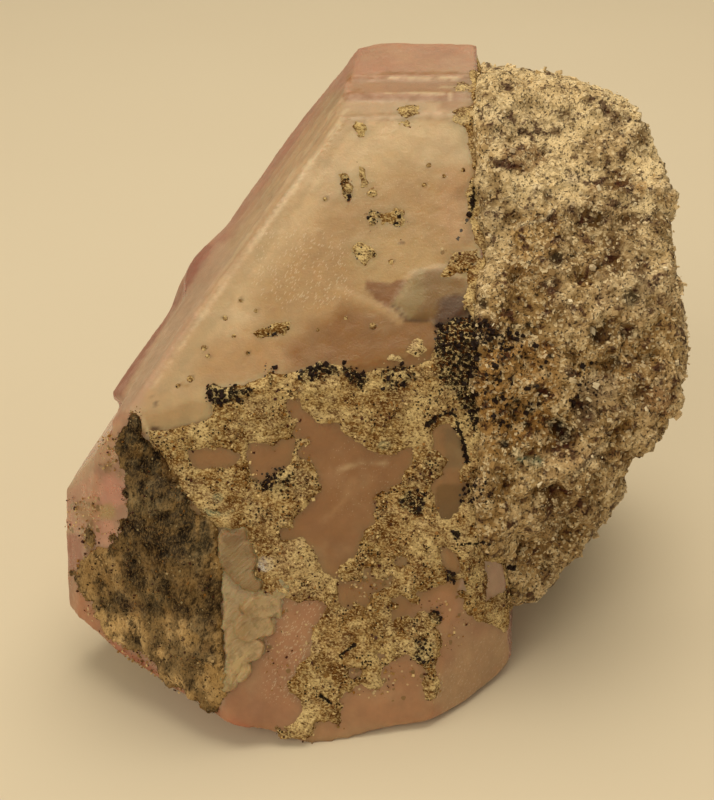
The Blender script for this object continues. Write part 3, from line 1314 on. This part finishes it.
def blade_rise(surface):
    """Overlapping plates with steep, scalloped rims."""
    height = np.full(len(surface.points), -1.0)
    scallop = 2.6 * cloud(surface.points, 1.2, 105, 3)
    for shape, thick, *slope in BLADES:
        depth = (shape(surface.pixels) + scallop) * surface.pixel_size
        lean = (surface.pixels - np.array((250.0, 610.0))) @ np.array(slope)
        plate = np.minimum(depth * 2.2, np.maximum(thick + lean, 0.12))
        height = np.maximum(height, np.where(surface.facing > LEAST_FACING, plate, -1.0))
    return height


# The rock.

ROCK_MARKS = marks("""
patch 474,318 505,320 520,400 512,470 505,560 474,560 146,108,58 16 .75;
patch 475,72 565,72 600,95 560,105 500,100 470,100 196,162,108 14 .7;
oval 470,87 486,99 brown 6 .6 .3;
oval 466,108 524,152 rock_cream 12 .7 .25;
oval 468,118 492,162 172,134,80 10 .6;
oval 502,134 521,146 brown 5 .8;
patch 505,150 520,142 536,143 541,152 548,158 540,165 530,172 515,170 505,165 142,106,66 6 .85 .3;
line3 480,165 486,190 rock_dark 3 .8 -.3;
oval 507,164 517,171 rock_dark 4 .9 -.6;
oval 543,188 552,202 rock_dark 4 .9 -.6;
oval 532,184 541,191 214,186,138 3 .9 .4;
oval 544,99 549,106 214,186,138 3 .9 .3;
oval 566,174 581,184 206,176,128 4 .9 .4;
oval 569,202 581,208 206,176,128 3 .9 .3;
oval 480,208 502,222 200,170,122 5 .8 .4;
oval 544,279 557,286 206,178,130 3 .9 .3;
oval 656,378 662,387 206,178,130 3 .9 .3;
oval 557,108 571,121 rock_dark 5 .8 -.5;
oval 549,124 562,137 rock_dark 5 .8 -.5;
oval 604,110 624,129 rock_dark 6 .7 -.5;
oval 611,127 619,142 rock_dark 4 .8 -.4;
oval 632,123 649,151 96,68,36 8 .85 .3;
oval 583,128 632,167 184,150,100 14 .7 .4;
oval 603,168 634,192 brown 8 .8 -.3;
oval 617,179 633,189 rock_dark 5 .8 -.4;
oval 634,180 647,197 160,118,66 5 .8 .3;
oval 654,183 677,207 158,122,74 7 .7 .5;
oval 664,185 673,191 206,178,130 3 .9;
oval 629,195 642,205 rock_dark 4 .8 -.4;
oval 624,211 646,226 rock_dark 5 .7 -.4;
oval 574,204 606,227 66,42,20 10 .8 -.7;
oval 594,213 601,223 black 3 .9 -.4;
oval 649,208 672,237 110,80,44 8 .7 .4;
oval 588,183 602,197 pink_tan 5 .8 .3;
oval 468,198 482,242 brown 8 .7 -.3;
oval 504,210 522,226 brown 6 .7 -.3;
patch 512,226 530,216 556,208 562,225 558,255 530,262 514,250 168,130,78 6 .85 .35;
line2.5 515,228 525,224 545,220 553,210 222,198,150 2 .9 .2;
oval 515,229 531,246 186,146,84 5 .7;
line2 527,231 531,238 rock_dark 2 .9;
line2 524,249 546,247 rock_dark 2 .9 -.2;
line2 525,245 545,243 216,190,142 2 .8 .1;
oval 549,252 564,269 black 5 .9 -.9;
oval 503,260 562,282 120,86,46 10 .7 -.2;
oval 551,277 561,292 rock_dark 4 .8 -.4;
oval 498,283 552,332 160,124,74 12 .6 .2;
oval 479,299 488,309 black 4 .9 -.3;
oval 471,316 504,346 60,40,22 8 .7 -.2;
oval 510,338 522,346 190,158,108 4 .7 .3;
oval 539,339 556,352 rock_dark 6 .8 -.5;
oval 603,238 622,272 70,46,22 8 .7 -.5;
oval 634,248 650,287 76,50,26 8 .7 -.4;
line12 608,286 602,300 596,318 186,152,104 6 .8 .5;
oval 624,290 638,307 black_brown 5 .8 -.5;
oval 588,323 613,347 56,36,18 8 .8 -.6;
oval 620,323 640,341 60,38,20 6 .8 -.5;
oval 610,353 620,367 black_brown 4 .8 -.4;
oval 572,390 596,432 58,38,20 8 .75 -.5;
oval 627,383 651,400 74,48,24 7 .7 -.4;
oval 648,386 674,414 156,116,74 8 .8 .4;
oval 578,373 622,402 176,146,104 10 .7 .4;
patch 475,350 555,338 562,400 540,440 490,450 476,420 165,120,65 16 .75 .2;
patch 546,421 558,416 572,424 580,429 574,433 577,440 563,442 556,434 black 4 .95 -1;
oval 559,432 577,449 58,38,20 6 .7 -.4;
oval 506,448 522,462 brown 6 .6 -.2;
patch 540,452 600,444 606,462 575,486 545,488 184,148,98 10 .7 .3;
line4 573,478 595,455 603,445 212,184,136 3 .8 .25;
line3 568,480 598,452 70,46,24 3 .7 -.2;
patch 535,490 600,470 600,520 575,560 535,560 124,92,52 14 .7;
oval 533,483 572,502 84,56,28 8 .7 -.3;
oval 544,496 556,516 78,52,26 5 .7 -.3;
oval 542,550 556,577 74,50,26 6 .7 -.3;
oval 488,538 512,562 170,136,86 8 .7 .2;
oval 498,583 532,612 166,132,80 8 .7 .2;
oval 477,568 491,602 104,64,38 6 .8 -.3;
line4 515,450 518,458 522,461 teal 3 .75;
oval 527,457 546,466 teal 4 .6;""")
ROCK_ZONES = marks("""
oval 500,262 560,345 106,76,40 26 .55 -.3;
oval 560,195 640,290 104,74,40 26 .6 -.4;
oval 575,300 660,420 168,130,78 26 .5 -.2;
oval 476,160 512,225 128,94,50 20 .6 -.2;
oval 490,400 560,460 98,66,32 22 .6 -.3;
oval 470,104 560,140 210,178,124 20 .6 .3;
oval 560,130 630,170 200,166,112 20 .6 .4;
oval 520,195 600,225 184,148,96 16 .5 .3;
oval 545,450 615,500 190,152,98 18 .6 .3;
patch 510,510 600,480 620,520 560,600 510,605 176,138,86 30 .5;
patch 476,230 560,215 680,215 690,390 640,470 560,440 476,470 124,88,42 50 .2;""")
ROCK_DOTS = ((502, 306, 2), (517, 313, 2), (511, 318, 2), (514, 325, 3), (528, 325, 3),
             (517, 358, 3), (502, 364, 2), (527, 358, 2), (551, 355, 3), (503, 392, 2),
             (514, 378, 2), (531, 386, 2), (537, 386, 2), (539, 391, 3), (545, 391, 2),
             (515, 400, 2), (518, 401, 2), (527, 406, 2), (533, 405, 2), (540, 401, 2),
             (531, 411, 2), (512, 414, 2), (516, 418, 2), (499, 419, 2), (495, 437, 2),
             (505, 444, 5), (527, 425, 4))


def rock_surface():
    """Knobby, sugary rock with pits and facets; also the height each point gained."""
    surface = surface_of("albite_matrix", ROCK_CELL, 6)
    points = surface.points
    nearest, _, number, _ = cells(points, 5.2, 111)
    height = 0.75 * cloud(points, 7.0, 112) + 0.8 * (0.55 - nearest) + 0.4 * (number - 0.5)
    knob, _, knob_number, knob_slope = cells(points, 2.1, 115)
    height += 0.9 * (0.45 - knob * knob) + 0.45 * (knob_number - 0.5) + 0.25 * knob_slope
    _, _, sugar_number, sugar_slope = cells(points, 1.05, 119)
    height += 0.16 * (sugar_number - 0.5) + 0.22 * sugar_slope + 0.12 * cloud(points, 0.9, 123, 2)
    height -= 0.9 * ramp(cloud(points, 2.6, 125), 0.4, 0.85)
    broken = ramp(cloud(points, 8.0, 128), -0.1, 0.6)
    height -= 0.4 * broken * ramp(cloud(points, 1.2, 127, 2), 0.4, 0.85)
    marked = lifted(surface, ROCK_MARKS) + lifted(surface, ROCK_ZONES)
    height += marked
    contact = near_solid(surface.points, solid_tree("kunzite_crystal"))
    joined = ramp(contact, -2.5, -0.3)
    height = height + joined * (np.maximum(height, 0.35) + 0.25 - height)
    surface.move(height - 0.25)
    surface.points = above_floor(surface.points)
    surface.look()
    surface.relief = height - 0.5 * marked
    return surface


def rock_values(surface):
    """Tint and black of the rock: pale on its knobs, stained in its hollows."""
    points, level = surface.points, surface.relief
    tint = stains(plain("rock_tan", len(points)),
                  ("rock_cream", 1.0, level + 0.3 * cloud(points, 9.0, 131), 0.0, 0.9),
                  ("rock_brown", 1.0, -level, 0.0, 0.6), ("rock_dark", 1.0, -level, 0.45, 1.2),
                  ((158, 114, 60), 0.3, cloud(points, 5.0, 132), 0.15, 0.7),
                  ("pink_tan", 0.5, cloud(points, 3.8, 133), 0.35, 0.8),
                  ((236, 202, 142), 0.8, points[:, 2], 42.0, 52.0))
    tint = paint(surface, tint, ROCK_ZONES + ROCK_MARKS)
    for x, y, radius in ROCK_DOTS:
        depth = spot(x, y, radius + 0.4)(surface.pixels)
        tint = stain(tint, "black", ramp(depth, -1.2, 0.8) * surface.shown)
    hidden = 0.3 * ramp(cloud(points, 6.0, 134), 0.25, 0.8) * (1.0 - surface.shown)
    return {"tint": tint, "black": np.maximum(black_density(surface), hidden)}


# Stage.

def add_floor(material):
    """A pale sheet that lies flat under the part and curves up behind it."""
    width, front, flat, rise, steps = 1.6, -0.5, 0.34, 0.5, 24
    profile = [(front, 0.0), (flat, 0.0)]
    for step in range(1, steps + 1):
        angle = math.pi / 2 * step / steps
        profile.append((flat + rise * math.sin(angle), rise * (1.0 - math.cos(angle))))
    profile.append((flat + rise, 1.3))
    points = [(side * width / 2, y, z) for y, z in profile for side in (-1, 1)]
    faces = [(2 * i, 2 * i + 1, 2 * i + 3, 2 * i + 2) for i in range(len(profile) - 1)]
    mesh = bpy.data.meshes.new("floor")
    mesh.from_pydata(points, [], faces)
    mesh.polygons.foreach_set("use_smooth", [True] * len(faces))
    mesh.materials.append(material)
    floor = bpy.data.objects.new("floor", mesh)
    bpy.context.scene.collection.objects.link(floor)


def floor_material():
    shade = Shading("pale_sheet")
    soft = shade.noise(60.0, 2.0, 0.5)
    tint = shade.mix(soft, (0.70, 0.645, 0.525, 1.0), (0.68, 0.62, 0.50, 1.0))
    shade.set(Base_Color=tint, Roughness=0.85)
    return shade.material


def add_light(name, place, target, size, power, colour):
    data = bpy.data.lights.new(name, "AREA")
    data.shape = "DISK"
    data.size = size
    data.energy = power
    data.color = colour
    light = bpy.data.objects.new(name, data)
    light.location = place
    aim = Vector(target) - Vector(place)
    light.rotation_euler = aim.to_track_quat("-Z", "Y").to_euler()
    bpy.context.scene.collection.objects.link(light)


def add_camera():
    data = bpy.data.cameras.new("photo_camera")
    data.sensor_fit = "VERTICAL"
    data.sensor_height = SENSOR_HEIGHT
    data.lens = FOCAL_PIXELS * SENSOR_HEIGHT / PHOTO_SIZE[1]
    data.clip_start = 0.005
    camera = bpy.data.objects.new("photo_camera", data)
    camera.location = EYE * MM
    camera.rotation_euler = (math.pi / 2 - LOOK_DOWN, 0.0, 0.0)
    bpy.context.scene.collection.objects.link(camera)
    bpy.context.scene.camera = camera


def light_stage():
    warm = tuple(WARM_LIGHT)
    add_light("overhead_softbox", (0.02, 0.10, 0.55), (0.0, 0.0, 0.02), 0.5, 2.1, warm)
    add_light("front_fill", (-0.35, -0.5, 0.4), (0.0, 0.0, 0.03), 0.5, 1.7, warm)
    world = bpy.data.worlds.new("soft_room")
    world.use_nodes = True
    background = world.node_tree.nodes["Background"]
    background.inputs["Color"].default_value = (*warm, 1.0)
    background.inputs["Strength"].default_value = 0.38
    bpy.context.scene.world = world
    bpy.context.scene.view_settings.view_transform = "Standard"


# Everything put together.

def add_crust(name, host, rise, look, base, marks, seed, node=None):
    """A crust that rises from its host. Its top, heights and values are given back."""
    top, height, points, faces = closed_layer(host, rise, CRUST_SINK)
    values = crust_values(top, height, base, marks, seed)
    add_piece(name, above_floor(points), faces, look, values, node=node)
    return top, height, values


def add_blades(ground):
    """The pale plates between the two crusts."""
    top, height, points, faces = closed_layer(ground, blade_rise, 0.25)
    tint = paint(top, plain((194, 158, 104), len(top.points)), BLADE_MARKS)
    tint = stain(tint, (206, 178, 130), 0.7 * ramp(-height, -0.4, -0.05))
    add_piece("albite_blade_plates", above_floor(points), faces,
              blade_material(), {"tint": twice(tint)}, node="albite_blades")


def main():
    add_camera()
    light_stage()
    add_floor(floor_material())

    body = crystal_surface(CRYSTAL_CELL, 3)
    body_values = crystal_values(body)
    add_piece("kunzite_body", body.points, body.quads, crystal_material(),
              body_values, node="kunzite_crystal")

    ground = crystal_surface(CRUST_CELL, 5)
    rock_tree = solid_tree("albite_matrix")
    front_look = crust_material("iron_crust", (222, 188, 122), (88, 54, 20), (1.5, 1.1, 1.0),
                                0.6, 0.8)
    dark_look = crust_material("dark_crust", (158, 122, 72), (16, 8, 3), (1.0, 1.0, 2.0),
                               0.35, 0.5)

    def edge_on(surface):
        depth = near_solid(surface.points, rock_tree)
        buried = near_solid(surface.points + surface.normals, rock_tree) > 0.4
        return edge_rise(surface, np.where(buried, 2.0, depth))

    front, front_height, front_values = add_crust(
        "front_crust_layer", ground, front_rise, front_look, "tan",
        CRUST_MARKS, 201, "front_crust")
    dark, dark_height, dark_values = add_crust(
        "dark_crust_layer", ground, dark_rise, dark_look, (56, 34, 13),
        DARK_MARKS, 211, "dark_crust")
    edge, _, _ = add_crust("edge_crust", body, edge_on, front_look, "tan",
                           CRUST_MARKS, 221)
    add_blades(ground)

    rock = rock_surface()
    rock_look = rock_values(rock)
    add_piece("albite_rock", rock.points, rock.quads, rock_material(), rock_look,
              node="albite_matrix")

    below = near_solid(rock.points, solid_tree("kunzite_crystal")) > 0.1
    chance = np.where(below, 0.0, 0.3 + ramp(rock.relief, -0.2, 0.8))
    corners, faces, picked, random = grains(rock, chance, ROCK_GRAINS, (0.1, 0.37), 1.6, 501)
    tint = stain(rock_look["tint"][picked], (224, 200, 154), random.random(len(picked)) ** 5)
    add_grains("albite_grains", corners, faces, grain_material(), tint)

    chance = np.where(front_height > 0.02, 1.0, np.where(front_height > -0.2, 0.4, 0.0))
    chance *= 1.0 - 0.9 * np.minimum(black_density(front), 1.0)
    chance *= 0.25 + 0.75 * front_values["specks"][:len(front_height)]
    add_crumbs("front_crumbs", front, front_height, chance, front_values["tint"], FRONT_CRUMBS,
               521)
    chance = np.where(dark_height > -0.35, 1.0, 0.0) + 1.5 * (np.abs(dark_height) < 0.12)
    add_crumbs("dark_crumbs", dark, dark_height, chance, dark_values["tint"], DARK_CRUMBS, 531,
               0.3, 0.15)
    count = len(body.points)
    add_crumbs("crystal_crumbs", body, np.zeros(count), body_values["stained"],
               plain("tan", count), CRYSTAL_CRUMBS, 541)

    layers = (edge, front, rock)
    hosts = Surface(np.concatenate([layer.points for layer in layers]), ground.quads[:1],
                    np.concatenate([layer.normals for layer in layers]),
                    np.concatenate([layer.ground for layer in layers]))
    chance = np.maximum(black_density(hosts) - 0.2, 0.0) + 1e-6
    chance[:len(edge.points)] += 0.004 * (1.0 - edge.shown)
    chance[-len(rock.points):] *= 2.5 * ~below
    corners, faces, _, _ = grains(hosts, chance, BLACK_GRAINS, (0.07, 0.36), 0.8, 511)
    add_grains("manganese_grains", corners, faces, black_material(),
               plain("black", BLACK_GRAINS))


main()
